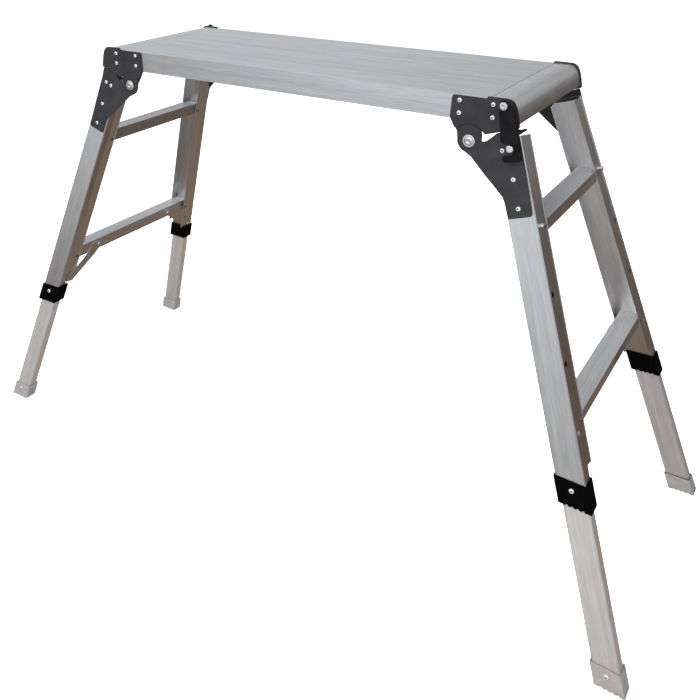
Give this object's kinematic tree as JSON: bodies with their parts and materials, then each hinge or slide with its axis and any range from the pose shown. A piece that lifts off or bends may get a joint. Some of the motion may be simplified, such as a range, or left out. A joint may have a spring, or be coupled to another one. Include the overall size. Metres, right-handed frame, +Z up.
{
  "type": "folding work platform bench",
  "caption": "Aluminium work platform: a narrow ribbed deck on splayed folding end frames with rungs, knee braces and telescoping legs on plastic feet.",
  "frame": {"origin": "on the floor, under the centre of the deck", "axes": "+X along the deck, +Y across it to the side away from the viewer, +Z up"},
  "size_m": [1.534, 0.6142, 0.9318],
  "materials": {
    "deck_alloy": "mill finish extrusion, satin",
    "frame_alloy": "mill finish extrusion, satin",
    "leg_alloy": "mill finish tube, satin",
    "black_steel": "powder coat, semi-matt",
    "latch_steel": "powder coat, semi-matt",
    "zinc": "bright zinc plate",
    "black_plastic": "moulded, matt",
    "grey_rubber": "moulded, matt"
  },
  "bodies": {
    "deck": {"deck_board_near": "deck_alloy", "side_rail_near": "deck_alloy", "deck_board_far": "deck_alloy", "side_rail_far": "deck_alloy", "end_nose_right": "deck_alloy", "end_nose_left": "deck_alloy", "hinge_plate_near_right": "black_steel", "hinge_rivets_near_right": "zinc", "hinge_plate_far_right": "black_steel", "hinge_rivets_far_right": "zinc", "hinge_plate_near_left": "black_steel", "hinge_rivets_near_left": "zinc", "hinge_plate_far_left": "black_steel", "hinge_rivets_far_left": "zinc", "latch_pivot_near_right": "zinc", "latch_pivot_far_left": "zinc"},
    "frame_right": {"upper_rung_right": "frame_alloy", "lower_rung_right": "frame_alloy", "leg_plate_near_right": "black_steel", "leg_rivets_near_right": "zinc", "pivot_pin_near_right": "zinc", "stile_near_right": "frame_alloy", "knee_brace_near_right": "frame_alloy", "collar_near_right": "black_plastic", "leg_plate_far_right": "black_steel", "leg_rivets_far_right": "zinc", "pivot_pin_far_right": "zinc", "stile_far_right": "frame_alloy", "knee_brace_far_right": "frame_alloy", "collar_far_right": "black_plastic"},
    "frame_left": {"upper_rung_left": "frame_alloy", "lower_rung_left": "frame_alloy", "leg_plate_near_left": "black_steel", "leg_rivets_near_left": "zinc", "pivot_pin_near_left": "zinc", "stile_near_left": "frame_alloy", "knee_brace_near_left": "frame_alloy", "collar_near_left": "black_plastic", "leg_plate_far_left": "black_steel", "leg_rivets_far_left": "zinc", "pivot_pin_far_left": "zinc", "stile_far_left": "frame_alloy", "knee_brace_far_left": "frame_alloy", "collar_far_left": "black_plastic"},
    "leg_near_right": {"sliding_leg_near_right": "leg_alloy", "foot_near_right": "grey_rubber"},
    "leg_far_right": {"sliding_leg_far_right": "leg_alloy", "foot_far_right": "grey_rubber"},
    "leg_near_left": {"sliding_leg_near_left": "leg_alloy", "foot_near_left": "grey_rubber"},
    "leg_far_left": {"sliding_leg_far_left": "leg_alloy", "foot_far_left": "grey_rubber"},
    "button_near_right": {"snap_button_near_right": "zinc"},
    "button_far_right": {"snap_button_far_right": "zinc"},
    "button_near_left": {"snap_button_near_left": "zinc"},
    "button_far_left": {"snap_button_far_left": "zinc"},
    "latch_near_right": {"latch_hook_near_right": "latch_steel"},
    "latch_far_left": {"latch_hook_far_left": "latch_steel"}
  },
  "joints": [
    {"name": "frame_fold_right", "type": "hinge", "parent": "deck", "child": "frame_right", "pos_m": [0.3945, 0, 0.85], "axis": [0, 1, 0], "range_deg": [0, 108]},
    {"name": "frame_fold_left", "type": "hinge", "parent": "deck", "child": "frame_left", "pos_m": [-0.3945, 0, 0.85], "axis": [0, -1, 0], "range_deg": [0, 95]},
    {"name": "leg_slide_near_right", "type": "slide", "parent": "frame_right", "child": "leg_near_right", "axis": [-0.3105, 0.1478, 0.939], "range_m": [0, 0.26]},
    {"name": "leg_slide_far_right", "type": "slide", "parent": "frame_right", "child": "leg_far_right", "axis": [-0.3105, -0.1478, 0.939], "range_m": [0, 0.26]},
    {"name": "leg_slide_near_left", "type": "slide", "parent": "frame_left", "child": "leg_near_left", "axis": [0.3105, 0.1478, 0.939], "range_m": [0, 0.26]},
    {"name": "leg_slide_far_left", "type": "slide", "parent": "frame_left", "child": "leg_far_left", "axis": [0.3105, -0.1478, 0.939], "range_m": [0, 0.26]},
    {"name": "button_press_near_right", "type": "slide", "parent": "frame_right", "child": "button_near_right", "axis": [-0.9494, 0, -0.314], "range_m": [0, 0.004], "stiffness_N_per_m": 1500, "springref_m": -0.0015},
    {"name": "button_press_far_right", "type": "slide", "parent": "frame_right", "child": "button_far_right", "axis": [-0.9494, 0, -0.314], "range_m": [0, 0.004], "stiffness_N_per_m": 1500, "springref_m": -0.0015},
    {"name": "button_press_near_left", "type": "slide", "parent": "frame_left", "child": "button_near_left", "axis": [0.9494, 0, -0.314], "range_m": [0, 0.004], "stiffness_N_per_m": 1500, "springref_m": -0.0015},
    {"name": "button_press_far_left", "type": "slide", "parent": "frame_left", "child": "button_far_left", "axis": [0.9494, 0, -0.314], "range_m": [0, 0.004], "stiffness_N_per_m": 1500, "springref_m": -0.0015},
    {"name": "latch_release_near_right", "type": "hinge", "parent": "deck", "child": "latch_near_right", "pos_m": [0.4549, -0.1875, 0.9212], "axis": [0, -1, 0], "range_deg": [0, 18], "stiffness_Nm_per_rad": 0.5, "springref_deg": -17.19},
    {"name": "latch_release_far_left", "type": "hinge", "parent": "deck", "child": "latch_far_left", "pos_m": [-0.4549, 0.1875, 0.9212], "axis": [0, 1, 0], "range_deg": [0, 18], "stiffness_Nm_per_rad": 0.5, "springref_deg": -17.19}
  ]
}
